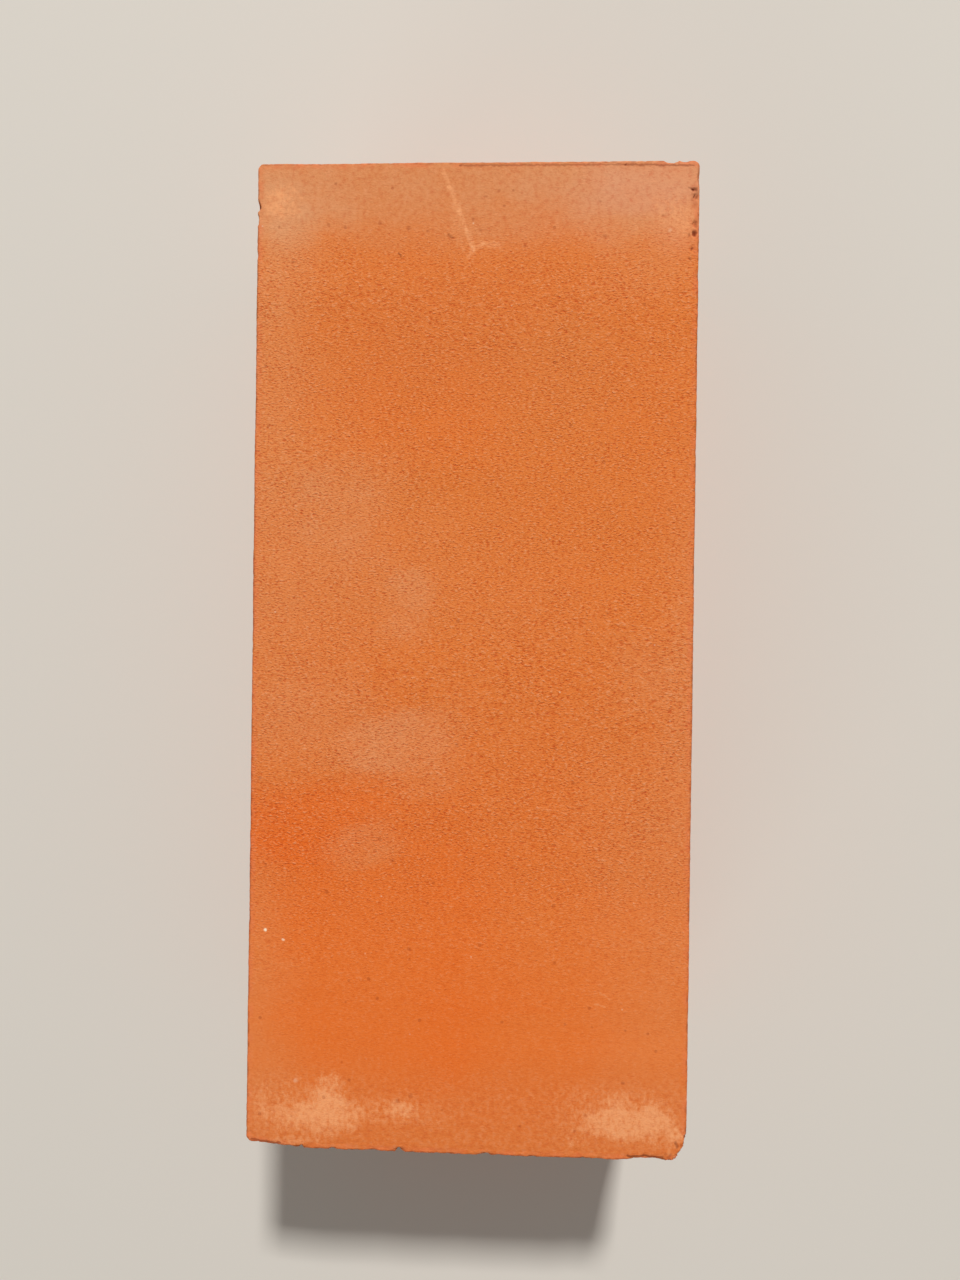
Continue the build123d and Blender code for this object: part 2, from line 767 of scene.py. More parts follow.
    pale_lines: tuple[Scratch, ...] = (
        Scratch((112.8, 7.9), (108.5, 6.2), 0.45, 0.42),
        Scratch((108.5, 6.2), (103.0, 3.7), 0.6, 0.4),
        Scratch((104.4, 4.8), (99.0, 4.4), 1.2, 0.16),
        Scratch((103.0, 3.7), (98.8, 2.4), 0.5, 0.46),
        Scratch((98.8, 2.4), (94.0, 0.6), 0.4, 0.55),
        Scratch((98.6, 1.4), (95.0, 0.4), 0.3, 0.36),
        Scratch((94.6, 0.6), (92.4, 1.6), 0.5, 0.4),
        Scratch((97.2, 3.8), (94.2, 2.8), 0.5, 0.24),
        Scratch((94.4, 0.4), (95.6, -1.6), 0.5, 0.42),
        Scratch((95.6, -1.6), (95.2, -5.4), 0.7, 0.4),
        Scratch((-78.6, -29.6), (-79.2, -31.8), 0.25, 0.4),
        Scratch((-76.0, -30.6), (-77.4, -33.0), 0.2, 0.3),
        Scratch((-106.8, -48.5), (-108.3, -49.8), 0.45, 0.6),
        Scratch((-108.4, -46.8), (-108.7, -49.6), 0.4, 0.55),
        Scratch((-109.3, -47.0), (-109.8, -49.2), 0.3, 0.4),
        Scratch((-111.4, -46.9), (-112.8, -47.1), 0.4, 0.4),
        Scratch((109.6, 43.2), (106.2, 40.6), 0.35, 0.4),
        Scratch((104.6, 42.6), (102.7, 40.5), 0.3, 0.3),
        Scratch((99.4, 43.6), (97.9, 42.4), 0.35, 0.25),
    )
    # Mostly painted shade: along the end edges, and in the pits and nicks by the -Y edge.
    dark_lines: tuple[Scratch, ...] = (
        Scratch((113.6, 4.0), (113.5, -34.0), 0.25, 0.4),
        Scratch((113.5, -34.0), (113.1, -49.6), 0.25, 0.5),
        Scratch((-113.3, -37.5), (-113.5, -45.5), 0.25, 0.6),
        Scratch((-112.6, 49.6), (-113.3, 43.0), 0.25, 0.6),
        Scratch((107.7, -49.3), (107.6, -50.2), 0.42, 0.65),
        Scratch((107.9, -48.4), (107.8, -49.4), 0.25, 0.4),
        Scratch((106.2, -50.3), (105.9, -50.3), 0.35, 0.5),
        Scratch((106.6, -49.5), (103.8, -49.9), 0.6, 0.22),
        Scratch((100.2, -50.2), (99.4, -50.1), 0.45, 0.4),
        Scratch((97.9, -50.0), (97.4, -49.8), 0.45, 0.85),
        Scratch((97.4, -48.6), (97.2, -48.6), 0.3, 0.4),
        Scratch((94.3, -49.5), (94.1, -49.3), 0.32, 0.65),
        Scratch((92.0, -48.8), (91.7, -49.0), 0.35, 0.4),
        Scratch((-109.9, -48.4), (-110.9, -48.9), 0.35, 0.5),
        Scratch((93.7, 17.7), (92.8, 17.2), 0.25, 0.5),
        Scratch((97.6, 6.3), (97.0, 5.3), 0.35, 0.4),
    )
    specks: tuple[Speck, ...] = (
        Speck(101.1, 0.6, 0.45),
        Speck(99.1, 15.6, 0.5),
        Speck(98.5, 11.3, 0.35),
        Speck(98.6, -1.0, 0.5, 0.4),
        Speck(107.7, -5.2, 0.45, 0.4),
        Speck(106.3, -2.2, 0.4, 0.35),
        Speck(91.5, 42.4, 0.45),
        Speck(99.5, 30.3, 0.4),
        Speck(97.1, -29.6, 0.5, 0.5),
        Speck(101.7, -42.7, 0.4, 0.4),
        Speck(-101.4, 12.6, 0.55, 0.5),
        Speck(-102.7, 15.6, 0.6, 0.5),
        Speck(-54.7, 32.8, 0.5),
        Speck(-79.0, 20.6, 0.5),
        Speck(-67.4, 13.3, 0.45),
        Speck(-96.6, -36.3, 0.45, 0.6),
        Speck(-104.5, -27.8, 0.5, 0.4),
        Speck(-110.6, -49.8, 0.4, 0.7),
        Speck(-113.0, -47.2, 0.4, 0.7),
        Speck(-112.6, -46.3, 0.35, 0.4),
    )
    crumbs: tuple[Speck, ...] = (
        Speck(-63.7, 47.0, 0.42, 1.0),
        Speck(-65.9, 42.7, 0.32, 0.6),
        Speck(-98.6, 39.4, 0.6, 0.2),
        Speck(98.5, -44.3, 0.5, 0.15),
    )

    def build(self) -> bpy.types.Material:
        """Makes the material.

        Returns:
            The fired clay.
        """
        finish = bpy.data.materials.new(CLAY_SLOT)
        finish.use_nodes = True
        finish.node_tree.nodes.clear()
        g = Graph(finish.node_tree)
        spot = self._spot(g)
        colour = g.mixed(spot.bed, self._side_colour(spot), self._bed_colour(spot))
        for layer in (self._grooved, self._speckled, self._edged, self._broken):
            colour = layer(spot, colour)
        bump = g.node("ShaderNodeBump", {"Strength": 1.0, "Distance": MM, "Height": self._height(spot)})
        shader = g.node("ShaderNodeBsdfPrincipled", {"Base Color": colour, "Normal": bump.outputs[0]})
        shader.inputs["Roughness"].default_value = self.bounds.roughness
        shader.inputs["Specular IOR Level"].default_value = self.bounds.shine
        g.node("ShaderNodeOutputMaterial", {"Surface": shader.outputs[0]})
        return finish

    def soft_tones(self, g: Graph, at: Field) -> dict[str, Field]:
        """Gives the soft tones of the upper bed, which the body's mesh carries.

        Args:
            g: The body's graph.
            at: The point.

        Returns:
            How strong each tone is, by its name.
        """
        stirred = g.stirred(at, at, self.noises.wide_stir)
        stirred = g.stirred(stirred, at, self.noises.small_stir)
        kinds = {"ruddy": self.ruddy, "haze": self.haze, "blush": self.blush, "dusk": self.dusk}
        return {name: self._total(g, stirred, patches) for name, patches in kinds.items()}

    def _spot(self, g: Graph) -> Spot:
        """Reads what the body's mesh carries at a point, and finds its pits and its grain.

        Args:
            g: The graph that the nodes go into.

        Returns:
            The point.
        """
        bounds, noises = self.bounds, self.noises
        place = g.node("ShaderNodeTexCoord").outputs["Object"]
        at = g.scaled(Field(g, place), 1.0 / MM)
        bed, edge, hollow, broken = (self._stored(g, name) for name in ("bed", "edge", "hollow", "broken"))
        x, _, z = g.split(at)
        start, end = (self.height * share for share in bounds.upper_half)
        upper = bed * g.ramp(z, start, end)
        nudged = g.vector("MULTIPLY", g.stirred(at, at, noises.nudge), (1.0, 1.0, 0.0))
        pitted = self._total(g, nudged, self.specks) * upper + g.scatter(at, noises.pits)
        wrinkles, rough = self._wrinkles(g, at, bed), self._roughness(g, at, x)
        ends = g.ramp(g.math("ABSOLUTE", x), *[self.length / 2 - reach for reach in bounds.end_strip])
        return Spot(g, at, nudged, bed, upper, edge, hollow, broken, pitted, wrinkles, rough, ends)

    def _wrinkles(self, g: Graph, at: Field, bed: Field) -> Field:
        """Gives the finest grain, 0 to 1: short wrinkles across the beds, upright lines on the sides.

        Args:
            g: The graph that the nodes go into.
            at: The point.
            bed: 1 on both beds and 0 on the sides.

        Returns:
            The grain.
        """
        noises = self.noises
        size = g.node("ShaderNodeMix", data_type="VECTOR", clamp_factor=True)
        values = bed, noises.die_lines, noises.wrinkles.size
        for socket, value in zip((size.inputs[0], size.inputs[4], size.inputs[5]), values):
            g.plug(socket, value)
        return g.noise(at, noises.wrinkles, size=Field(g, size.outputs[1]))

    def _roughness(self, g: Graph, at: Field, x: Field) -> Field:
        """Gives how rough the cut is, about 1 mid face: the wire smoothed it at both ends.

        Args:
            g: The graph that the nodes go into.
            at: The point.
            x: The point's place along the length.

        Returns:
            The roughness.
        """
        half, bounds = self.length / 2, self.bounds
        head = g.ramp(x, *[half - reach for reach in bounds.rubbed_head])
        foot = g.ramp(x, *[-half * share for share in bounds.rubbed_foot])
        rubbed = head * foot * (1.0 - bounds.least_rough) + bounds.least_rough
        return rubbed * g.mottle(at, self.noises.roughness)

    def _stored(self, g: Graph, name: str) -> Field:
        """Reads a value that the body's shape tree stored."""
        return Field(g, g.node("ShaderNodeAttribute", attribute_name=name).outputs["Fac"])

    def _patch(self, g: Graph, at: Field, patch: Patch) -> Field:
        """Gives how strong a patch is at a point, 0 outside it.

        Args:
            g: The graph that the nodes go into.
            at: The point.
            patch: The patch.

        Returns:
            The strength.
        """
        cos, sin = math.cos(math.radians(patch.turn_deg)), math.sin(math.radians(patch.turn_deg))
        axes = (cos / patch.along, sin / patch.along, 0.0), (-sin / patch.across, cos / patch.across, 0.0)
        rest = g.vector("SUBTRACT", at, (patch.x, patch.y, 0.0))
        place = g.join(*[g.vector("DOT_PRODUCT", rest, axis) for axis in axes], 0.0)
        squared = g.vector("MULTIPLY", place, place)
        far = g.math("POWER", g.vector("DOT_PRODUCT", squared, squared), 0.25)
        return g.ramp(far, 1 + patch.softness, 1 - patch.softness, patch.strength)

    def _line(self, g: Graph, at: Field, scratch: Scratch) -> Field:
        """Gives how strong a fine line is at a point, 0 off it.

        Args:
            g: The graph that the nodes go into.
            at: The point.
            scratch: The line.

        Returns:
            The strength.
        """
        run = Vector((*scratch.end, 0.0)) - Vector((*scratch.start, 0.0))
        way = tuple(run.normalized())
        rest = g.vector("SUBTRACT", at, (*scratch.start, 0.0))
        # No clamped Map Range here: with one in every line the shader outgrows the renderer's limit.
        along = g.math("MAXIMUM", g.vector("DOT_PRODUCT", rest, way), 0.0)
        nearest = g.scaled(way, g.math("MINIMUM", along, run.length))
        rim, core = (share * scratch.half_width for share in (self.bounds.line_rim, self.bounds.line_core))
        return g.ramp(g.vector("DISTANCE", rest, nearest), rim, core, scratch.strength)

    def _speck(self, g: Graph, at: Field, speck: Speck) -> Field:
        """Gives how strong a speck is at a point, 0 off it.

        Args:
            g: The graph that the nodes go into.
            at: The point.
            speck: The speck.

        Returns:
            The strength.
        """
        far = g.vector("DISTANCE", at, (speck.x, speck.y, 0.0))
        rim, core = (share * speck.radius for share in (self.bounds.speck_rim, self.bounds.speck_core))
        return g.ramp(far, rim, core, speck.strength)

    def _total(self, g: Graph, at: Field, marks: tuple[Mark, ...]) -> Field:
        """Adds up marks of one kind, to no more than 1.

        Args:
            g: The graph that the nodes go into.
            at: The point.
            marks: The marks.

        Returns:
            Their strength together.
        """
        makers = {Patch: self._patch, Scratch: self._line, Speck: self._speck}
        total: Field | None = None
        for mark in marks:
            share = makers[type(mark)](g, at, mark)
            total = share if total is None else total + share
        return g.math("MINIMUM", total, 1.0)

    def _bed_colour(self, spot: Spot) -> Field:
        """Colours the wire-cut beds, and the film, the dust and the scratches on the upper one.

        Args:
            spot: The point on the brick.

        Returns:
            The colour.
        """
        g, at, tones, noises = spot.g, spot.at, self.tones, self.noises
        x, _, _ = g.split(at)
        colour = g.mixed(g.line(x, *self.bounds.far_end), tones.clay, tones.clay_far)
        ruddy = self._stored(g, "ruddy") * spot.upper + g.mottle(at, noises.ruddy_clouds)
        colour = g.mixed(g.math("MINIMUM", ruddy, 1.0), colour, tones.ruddy)
        haze = self._stored(g, "haze") * spot.upper
        colour = g.mixed(haze * g.mottle(at, noises.haze_breath), colour, tones.haze)
        colour = g.mixed(self._stored(g, "blush") * spot.upper, colour, tones.blush)
        colour = g.mixed(self._stored(g, "dusk") * spot.upper, colour, tones.dusk)
        colour = g.mixed(self._chalk_share(spot) * spot.upper, colour, tones.chalk)
        scratched = self._total(g, spot.nudged, self.pale_lines) * g.mottle(at, noises.scuffs)
        return g.mixed(scratched * spot.upper, colour, tones.chalk)

    def _chalk_share(self, spot: Spot) -> Field:
        """Gives how much chalky dust lies at a point: it clings in grains, thick and thin.

        Args:
            spot: The point on the brick.

        Returns:
            The share, 0 to 1.
        """
        g, bounds = spot.g, self.bounds
        cover = self._total(g, g.stirred(spot.nudged, spot.at, self.noises.chalk_rags), self.chalk)
        grains = g.noise(spot.at, self.noises.dust) + cover * bounds.chalk_cover
        dust = g.line(grains, *bounds.chalk_grain, 0.0, bounds.chalk_most)
        return g.ramp(cover, *bounds.chalk_rim) * dust

    def _side_colour(self, spot: Spot) -> Field:
        """Colours the four die-smooth sides: a ruddier skin drawn out in upright streaks.

        Args:
            spot: The point on the brick.

        Returns:
            The colour.
        """
        g, at, tones, noises = spot.g, spot.at, self.tones, self.noises
        colour = g.mixed(g.mottle(at, noises.streaks), tones.skin, tones.clay)
        colour = g.mixed(g.mottle(at, noises.side_ruddy), colour, tones.ruddy)
        return g.mixed(g.mottle(at, noises.side_haze), colour, tones.haze)

    def _grooved(self, spot: Spot, colour: Field) -> Field:
        """Paints shade into the fine relief's grooves and light onto its ridges.

        Args:
            spot: The point on the brick.
            colour: The colour so far.

        Returns:
            The colour.
        """
        g, tones, bounds = spot.g, self.tones, self.bounds
        share = spot.bed * (spot.rough * bounds.bed_tint - bounds.side_tint) + bounds.side_tint
        colour = g.mixed(g.ramp(spot.wrinkles, *bounds.groove) * share, colour, tones.groove)
        return g.mixed(g.ramp(spot.wrinkles, *bounds.ridge) * share, colour, tones.ridge)

    def _speckled(self, spot: Spot, colour: Field) -> Field:
        """Adds the clay's grain, dark pits and pale grains.

        Args:
            spot: The point on the brick.
            colour: The colour so far.

        Returns:
            The colour.
        """
        g, tones, bounds = spot.g, self.tones, self.bounds
        grain = g.noise(spot.at, self.noises.clay_grain)
        most = spot.ends * spot.upper * bounds.end_grain + bounds.grain
        colour = g.mixed(g.line(grain, *bounds.dark_grain, 0.0, most), colour, tones.groove)
        colour = g.mixed(g.line(grain, *bounds.pale_grain, 0.0, most), colour, tones.ridge)
        colour = g.mixed(spot.pitted * bounds.pit_dark, colour, tones.iron)
        grains = g.scatter(spot.at, self.noises.pale_grains)
        crumbs = self._total(g, spot.nudged, self.crumbs) * spot.upper
        return g.mixed(g.math("MAXIMUM", grains, crumbs), colour, tones.sand)

    def _edged(self, spot: Spot, colour: Field) -> Field:
        """Reddens the worn edges, and paints shade into nicks and chips, along the arrises and along the
        dark lines.

        Args:
            spot: The point on the brick.
            colour: The colour so far.

        Returns:
            The colour.
        """
        g, at, tones, bounds = spot.g, spot.at, self.tones, self.bounds
        worn = g.ramp(spot.edge, *bounds.worn_edge) * g.mottle(at, self.noises.worn_edges)
        colour = g.mixed(worn, colour, tones.rose)
        # A dotted line of painted shade along the arrises.
        dotted = g.ramp(spot.edge, *bounds.arris_shade_band) * g.mottle(at, self.noises.arris_shade_dots)
        # Painted shade in nicks and chips, and along the dark lines.
        dark = g.math("MAXIMUM", spot.hollow * bounds.hollow_shade, dotted)
        dark = g.math("MAXIMUM", dark, self._total(g, spot.nudged, self.dark_lines) * spot.upper)
        return g.mixed(dark, colour, tones.shadow)

    def _broken(self, spot: Spot, colour: Field) -> Field:
        """Colours the raw break: paler, with crumbs.

        Args:
            spot: The point on the brick.
            colour: The colour so far.

        Returns:
            The colour.
        """
        g, tones = spot.g, self.tones
        raw = g.mixed(g.mottle(spot.at, self.noises.break_crumbs), tones.rose, tones.fresh)
        return g.mixed(spot.broken * self.bounds.break_pale, colour, raw)

    def _height(self, spot: Spot) -> Field:
        """Gives the fine relief as a height.

        Args:
            spot: The point on the brick.

        Returns:
            The height.
        """
        g, at, relief, noises = spot.g, spot.at, self.relief, self.noises
        swell, drag, grit = (g.noise(at, grain)
                             for grain in (noises.swells, noises.drag_lines, noises.grit))
        amplitude = (spot.rough * relief.wrinkle - relief.die_line) * spot.bed + relief.die_line
        coarse = spot.ends * spot.bed * relief.rub + spot.broken * relief.crumb + relief.grit
        height = spot.wrinkles * amplitude + swell * relief.swell + grit * coarse
        dragged = drag * spot.bed * g.line(spot.rough, *self.bounds.dragged, relief.drag, 0.0)
        return height + dragged - spot.pitted * relief.pit


@dataclass(frozen=True)
class Nick:
    """A small piece that came off an edge of the upper bed.

    Attributes:
        x: Its place along the length.
        y: Its place across the width.
        along: Half its size along the length.
        across: Half its size across the width.
        depth: How deep it is.
        down: How far it reaches down the side.
        dark: How much painted shade it gets, 0 to 1.
    """

    x: float
    y: float
    along: float
    across: float
    depth: float
    down: float = 1.0
    dark: float = 1.0


@dataclass(frozen=True)
class Facet:
    """A flat part of the break, cut across the top corner at the -X end on the -Y side.

    Attributes:
        along: How far from the sharp corner it meets the long edge.
        across: How far from the sharp corner it meets the end edge.
        down: How far from the sharp corner it meets the upright edge.
    """

    along: float
    across: float
    down: float


@dataclass(frozen=True)
class BodyNoises:
    """The random patterns of the body's shape, each named for what it makes."""

    edge_share: Mottle = Mottle(Grain((14.0, 14.0, 200.0), 4.0), 0.3, 0.7, 0.6, 1.5)
    side_sag: Mottle = Mottle(Grain((30.0, 30.0, 90.0), 0.0, 2.5), 0.32, 0.68)
    bed_sag: Mottle = Mottle(Grain((20.0, 140.0, 30.0), 1.0, 1.0), 0.3, 0.7)
    tears: Mottle = Mottle(Grain(1.7, 2.0, 2.0, 0.6), 0.5, 0.85)
    frays: Mottle = Mottle(Grain(0.9, 7.0, 2.0, 0.6), 0.45, 0.8)
    chips: Scatter = Scatter(9.0, 0.2, 1.3, (0.5, 0.9), 0.6)
    nick_rim: Grain = Grain(0.8, 3.0)
    crumbs: Mottle = Mottle(Grain(1.3, 5.0, 3.0, 0.65), 0.25, 0.75, -0.1, 0.5)
    lumps: Mottle = Mottle(Grain(4.0, 6.0), 0.3, 0.7, -0.25, 0.45)


@dataclass(frozen=True)
class Place:
    """A point of the body, before the body's shape moves it.

    Attributes:
        shape: The body's tree.
        seed: The tree's seed.
        halves: Half the box's sizes.
        flat: The point's parts on the plain box, from its middle.
        at: The same point as a vector.
        signs: The sign of each of its parts.
        depth: How far it lies from the nearer bed.
    """

    shape: ShapeTree
    seed: Field
    halves: list[Field]
    flat: list[Field]
    at: Field
    signs: list[Field]
    depth: Field


@dataclass
class BrickBody:
    """The brick's body: a box with wandering faces, worn edges, nicks and one broken corner.

    Attributes:
        low: The lowest corner of its box, in metres.
        high: The highest corner, in metres.
        corner_radius: The radius of the upright corners.
        edge_radius: The mean radius of the edges round both beds.
        wander: How far the sides wander inwards at most.
        bed_wander: How far the beds do.
        wander_reach: How far a face's wander reaches onto the faces beside it.
        rim_sag: The share of the sides' wander at the beds' edges.
        sag_depth: How far from a bed all of it is there.
        exit_pull: How far the wire pulled in the end edge where it left the clay, at the +Y corner.
        exit_reach: How far that goes across the width.
        exit_length: How far it goes along the length.
        exit_depth: How far it goes down.
        tear: How deep the edges are torn.
        tear_share: The share of that away from the end where the wire left the clay.
        fray: How deep they are frayed.
        fray_share: The share of that away from that end.
        worn_reach: How far from an edge the wear reaches.
        torn_end: How far from the -X end tears begin to deepen, and where they are deepest.
        chip_shade: How much painted shade random chips get.
        nick_band: How far from a nick's middle, in its sizes, it is deepest, and where it ends.
        nick_wobble: What its distances are multiplied by: this share of a noise, and what is added to it.
        bite_share: The share of each bite along each direction.
        shade_band: How hollow a place has to be to get painted shade, and to get all of it.
        bed_band: How far from a bed its finish begins to fade, and where it has gone.
        break_band: How deep in the break its finish begins and is full.
        seed: The seed of all its noises.
        crowding: How much the lines of points crowd towards the edges.
        spacing: The mean distance between the lines.
        triangles: The most triangles it has.
        noises: Its random patterns.
        facets: The flat parts of its break.
        nicks: Its nicks.
        half: Half its sizes.
    """

    low: Vector
    high: Vector
    corner_radius: float = 1.5
    edge_radius: float = 0.5
    wander: float = 0.6
    bed_wander: float = 0.3
    wander_reach: float = 22.0
    rim_sag: float = 0.1
    sag_depth: float = 15.0
    exit_pull: float = 1.15
    exit_reach: float = 15.0
    exit_length: float = 30.0
    exit_depth: float = 25.0
    tear: float = 0.45
    tear_share: float = 0.35
    fray: float = 0.2
    fray_share: float = 0.5
    worn_reach: float = 3.0
    torn_end: Pair = (4.0, 0.5)
    chip_shade: float = 0.6
    nick_band: Pair = (0.35, 1.3)
    nick_wobble: Pair = (1.2, 0.4)
    bite_share: float = 0.7
    shade_band: Pair = (0.15, 0.8)
    bed_band: Pair = (0.1, 0.8)
    break_band: Pair = (-0.05, 0.2)
    seed: float = 3.0
    crowding: float = 0.38
    spacing: float = 0.6
    triangles: int = 190_000
    noises: BodyNoises = BodyNoises()
    facets: tuple[Facet, ...] = (Facet(4.4, 3.3, 7.5), Facet(8.5, 1.4, 5.0))
    nicks: tuple[Nick, ...] = (
        Nick(110.2, -51.0, 1.6, 0.5, 0.3, 1.0, 0.8),
        Nick(107.7, -49.7, 0.4, 0.8, 0.9, 1.0, 0.7),
        Nick(106.2, -50.2, 0.5, 0.4, 0.8, 1.0, 0.5),
        Nick(105.2, -49.8, 1.9, 0.8, 0.4, 0.8, 0.1),
        Nick(99.8, -50.0, 0.8, 0.6, 0.9, 0.8, 0.5),
        Nick(97.6, -49.8, 0.65, 0.65, 1.4, 0.8),
        Nick(97.4, -48.6, 0.3, 0.3, 0.7, 0.8),
        Nick(94.2, -49.4, 0.6, 0.5, 1.1, 0.8, 0.6),
        Nick(91.8, -48.9, 0.4, 0.5, 0.9),
        Nick(88.0, -50.7, 1.6, 0.5, 0.3, 1.0, 0.5),
        Nick(104.6, 51.0, 1.2, 0.6, 0.9, 1.5),
        Nick(101.5, 51.0, 1.4, 0.4, 0.4, 1.5, 0.7),
        Nick(114.5, -44.6, 0.7, 1.6, 0.5, 2.5, 0.5),
        Nick(114.5, -47.6, 0.8, 1.2, 0.3, 1.5, 0.5),
        Nick(-114.5, 38.1, 0.8, 0.45, 0.8, 3.0),
        Nick(-114.5, 30.5, 0.7, 0.7, 0.3, 2.5, 0.6),
        Nick(-114.5, 21.0, 0.7, 0.6, 0.3, 2.5, 0.6),
        Nick(-114.5, 14.9, 1.2, 0.5, 1.6, 3.5),
        Nick(-114.5, -5.0, 0.7, 1.0, 0.3, 2.5, 0.4),
        Nick(-114.5, -42.0, 1.4, 5.2, 0.6, 3.5, 0.4),
    )
    half: Vector = field(init=False)

    def __post_init__(self) -> None:
        """Works out half the brick's sizes in millimetres."""
        self.half = (self.high - self.low) / (2 * MM)

    def build(self, clay: FiredClay) -> bpy.types.Object:
        """Makes the body and puts it in the frame.

        Args:
            clay: Its finish.

        Returns:
            The body's object.
        """
        shape = ShapeTree("brick_body")
        lines = [round(2 * side / self.spacing) for side in self.half]
        quads = 2 * (lines[0] * lines[1] + lines[1] * lines[2] + lines[2] * lines[0])
        surface = self._surface(shape, lines, clay)
        mesh = shape.mesh(surface, clay.build(), min(1.0, self.triangles / (2 * quads)))
        mesh.shade_smooth()
        piece = bpy.data.objects.new("brick_body", mesh)
        bpy.context.scene.collection.objects.link(piece)
        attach(piece, "root")
        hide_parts(BRICK_NODE)
        return piece

    def _surface(self, shape: ShapeTree, lines: list[int], clay: FiredClay) -> bpy.types.NodeSocket:
        """Lays out the whole surface.

        Args:
            shape: The tree that it goes into.
            lines: How many lines of points run along X, Y and Z.
            clay: The finish, whose soft tones the surface carries.

        Returns:
            The socket that gives the finished surface.
        """
        g = shape.graph
        halves = [shape.number(name, 2 * (half - INSET)) * 0.5
                  for name, half in zip(("Length", "Width", "Height"), self.half)]
        counts = {f"Vertices {axis}": shape.input(f"Lines along {axis}", InputKind.COUNT, count)
                  for axis, count in zip("XYZ", lines)}
        seed = shape.number("Seed", self.seed)
        cube = g.node("GeometryNodeMeshCube", {"Size": (2.0, 2.0, 2.0), **counts})
        unit = g.split(Field(g, g.node("GeometryNodeInputPosition").outputs[0]))
        flat = [self._crowded(share, half) for share, half in zip(unit, halves)]
        at = g.join(*flat)
        signs = [g.math("SIGN", part) for part in flat]
        depth = halves[2] - g.math("ABSOLUTE", flat[2])
        place = Place(shape, seed, halves, flat, at, signs, depth)
        out, rounded = self._rounded(place)
        worn, hollow, near_edge = self._worn(place, self._wandered(place, rounded), out)
        broken_at, broken = self._broken(place, worn)
        surface = cube.outputs["Mesh"]
        bed = 1.0 - g.ramp(depth, *self.bed_band)
        carried = {"bed": bed, "edge": near_edge, "hollow": hollow, "broken": broken}
        for name, value in (carried | clay.soft_tones(g, at)).items():
            stored = g.node("GeometryNodeStoreNamedAttribute", {"Geometry": surface, "Name": name},
                            data_type="FLOAT", domain="POINT")
            g.plug(stored.inputs["Value"], value)
            surface = stored.outputs[0]
        lifted = g.vector("ADD", broken_at, g.join(0.0, 0.0, halves[2] + INSET))
        placed = g.node("GeometryNodeSetPosition", {"Geometry": surface, "Position": g.scaled(lifted, MM)})
        return placed.outputs[0]

    def _crowded(self, share: Field, half: Field) -> Field:
        """Turns a place from -1 to 1 into millimetres, with the lines crowded towards both ends."""
        return share * half * ((1.0 + self.crowding) - share * share * self.crowding)

    def _rounded(self, place: Place) -> tuple[tuple[Field, Field], list[Field]]:
        """Rounds the upright corners, then the edges of both beds.

        Args:
            place: The point.

        Returns:
            The outward direction in plan, and the rounded point's parts.
        """
        g, flat, signs, halves = place.shape.graph, place.flat, place.signs, place.halves
        corner = place.shape.number("Corner Radius", self.corner_radius)
        edge = place.shape.number("Edge Radius", self.edge_radius)
        edge = edge * g.mottle(place.at, self.noises.edge_share, place.seed)
        over = [g.math("MAXIMUM", g.math("ABSOLUTE", part) - (half - corner), 0.0)
                for part, half in zip(flat[:2], halves)]
        reach = g.math("MAXIMUM", *over)
        span = g.math("MAXIMUM", g.math("SQRT", over[0] * over[0] + over[1] * over[1]), TINY)
        out = tuple(sign * part / span for sign, part in zip(signs, over))
        plan = [p + sign * part * (reach / span - 1.0) for p, sign, part in zip(flat, signs, over)]
        inside = corner - reach
        short = [g.math("MAXIMUM", edge - part, 0.0) for part in (inside, place.depth)]
        both = g.math("MAXIMUM", g.math("SQRT", short[0] * short[0] + short[1] * short[1]), TINY)
        on_edge = g.math("GREATER_THAN", short[0] * short[1], 0.0)
        ease = (1.0 - g.math("MAXIMUM", *short) / both) * on_edge
        pull_in, pull_down = short[0] * ease, short[1] * ease
        return out, [plan[0] - out[0] * pull_in, plan[1] - out[1] * pull_in, flat[2] - signs[2] * pull_down]

    def _wandered(self, place: Place, rounded: list[Field]) -> list[Field]:
        """Lets each face wander inwards a little, as soft clay does on its way to the kiln.

        Args:
            place: The point.
            rounded: The rounded point's parts.

        Returns:
            The moved point's parts.
        """
        g, flat, halves = place.shape.graph, place.flat, place.halves
        amount = place.shape.number("Wander", self.wander)
        bed_amount = place.shape.number("Bed Wander", self.bed_wander)
        pull = place.shape.number("Exit Pull", self.exit_pull)
        sag = g.mottle(place.at, self.noises.side_sag, place.seed)
        sag = sag * g.line(place.depth, 0.0, self.sag_depth, self.rim_sag, 1.0) * amount
        bed_sag = g.mottle(place.at, self.noises.bed_sag, place.seed) * bed_amount
        moved = []
        for part, sign, half, start, share in zip(rounded, place.signs, halves, flat, (sag, sag, bed_sag)):
            near = g.ramp(g.math("ABSOLUTE", start), half - self.wander_reach, half)
            moved.append(part - sign * near * share)
        leaving = g.ramp(-flat[0], halves[0] - self.exit_length, halves[0])
        leaving = leaving * g.ramp(flat[2], halves[2] - self.exit_depth, halves[2])
        moved[0] = moved[0] + leaving * g.ramp(flat[1], halves[1] - self.exit_reach, halves[1]) * pull
        return moved

